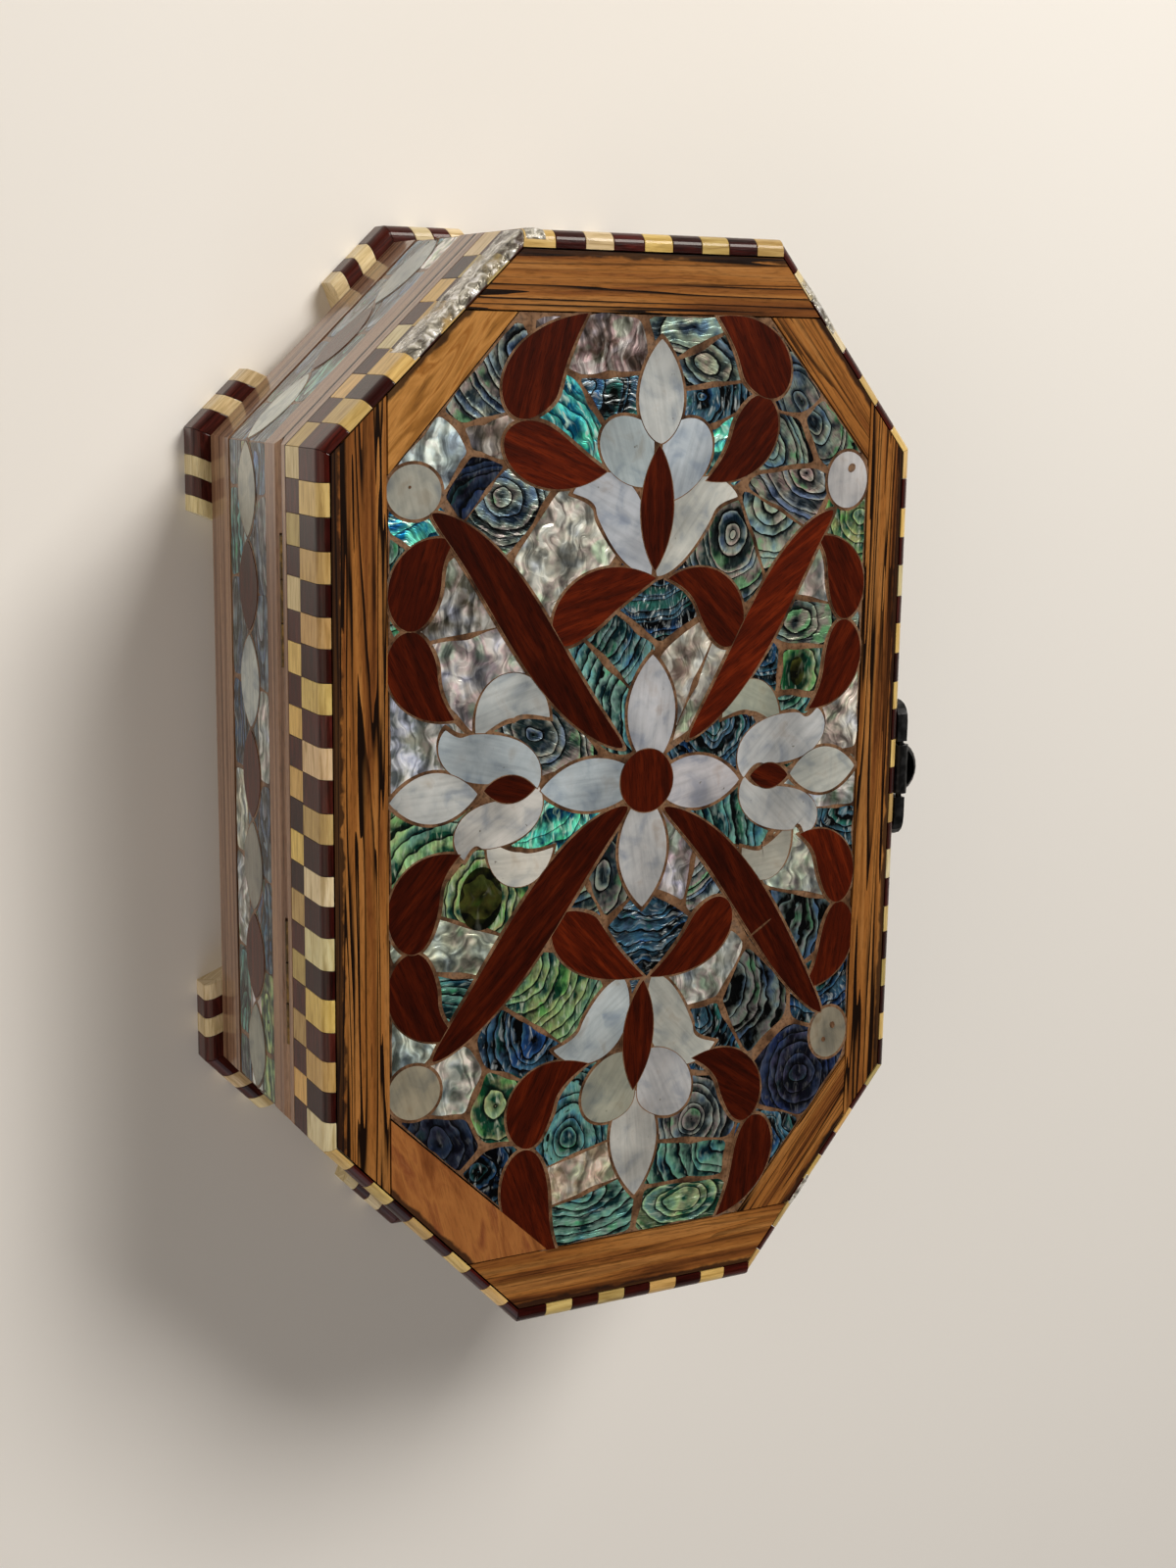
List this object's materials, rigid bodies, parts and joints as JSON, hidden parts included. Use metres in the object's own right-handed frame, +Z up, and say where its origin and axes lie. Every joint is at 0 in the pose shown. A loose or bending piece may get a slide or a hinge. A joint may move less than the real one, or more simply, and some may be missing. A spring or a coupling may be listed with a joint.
{
  "type": "inlaid shell jewellery box",
  "caption": "Eight-sided wooden jewellery box with shell-inlaid hinged lid, checkered edge bands, corner feet and a small front latch.",
  "frame": {"origin": "middle of the footprint's bounding box, on the plane the feet stand on", "axes": "+X along the length, with the two hinges on the +Y side and the latch on the -Y side; +Z up"},
  "size_m": [0.213, 0.1328, 0.0683],
  "materials": {
    "carcass_wood": "varnished plain boards behind the veneers and inside the box",
    "strip_wood": "lacquered laminated strips, tan brown with fine dark streaks",
    "frame_wood": "lacquered honey-brown streaked strips round the lid panel",
    "shell_inlay": "abalone chips, mother-of-pearl and mahogany shapes in brown grout under a glossy clear coat",
    "checker_wood": "lacquered squares of cream and dark wood, two courses half a step apart",
    "foot_wood": "lacquered light and dark blocks, rounded on the upper edge",
    "hinge_brass": "dull antique brass",
    "dark_metal": "blackened antique cast latch with worn edges"
  },
  "bodies": {
    "box": {"floor_board": "carcass_wood", "wall_front": "carcass_wood", "wall_front_right": "carcass_wood", "wall_right": "carcass_wood", "wall_back_right": "carcass_wood", "wall_back": "carcass_wood", "wall_back_left": "carcass_wood", "wall_left": "carcass_wood", "wall_front_left": "carcass_wood", "base_strips": "strip_wood", "inlay_band": "shell_inlay", "rim_strips": "strip_wood", "foot_front_near_left": "foot_wood", "foot_front_near_right": "foot_wood", "foot_right_near_front": "foot_wood", "foot_right_near_back": "foot_wood", "foot_back_near_right": "foot_wood", "foot_back_near_left": "foot_wood", "foot_left_near_back": "foot_wood", "foot_left_near_front": "foot_wood", "hinge_left_box_leaf": "hinge_brass", "hinge_left_pin": "hinge_brass", "hinge_right_box_leaf": "hinge_brass", "hinge_right_pin": "hinge_brass", "latch_catch": "dark_metal"},
    "lid": {"lid_board": "carcass_wood", "lid_wall_front": "carcass_wood", "lid_wall_front_right": "carcass_wood", "lid_wall_right": "carcass_wood", "lid_wall_back_right": "carcass_wood", "lid_wall_back": "carcass_wood", "lid_wall_back_left": "carcass_wood", "lid_wall_left": "carcass_wood", "lid_wall_front_left": "carcass_wood", "lid_strips": "strip_wood", "checker_lower": "checker_wood", "checker_upper": "checker_wood", "frame_strip_front": "frame_wood", "frame_strip_front_right": "frame_wood", "frame_strip_right": "frame_wood", "frame_strip_back_right": "frame_wood", "frame_strip_back": "frame_wood", "frame_strip_back_left": "frame_wood", "frame_strip_left": "frame_wood", "frame_strip_front_left": "frame_wood", "inlaid_panel": "shell_inlay", "hinge_left_lid_leaf": "hinge_brass", "hinge_right_lid_leaf": "hinge_brass", "latch_plate": "dark_metal"},
    "latch": {"latch_tongue": "dark_metal"}
  },
  "joints": [
    {"name": "lid_hinge", "type": "hinge", "parent": "box", "child": "lid", "pos_m": [0, 0.06195, 0.04715], "axis": [-1, 0, 0], "range_deg": [0, 92]},
    {"name": "latch_hinge", "type": "hinge", "parent": "lid", "child": "latch", "pos_m": [0, -0.06175, 0.0659], "axis": [-1, 0, 0], "range_deg": [0, 100]}
  ]
}
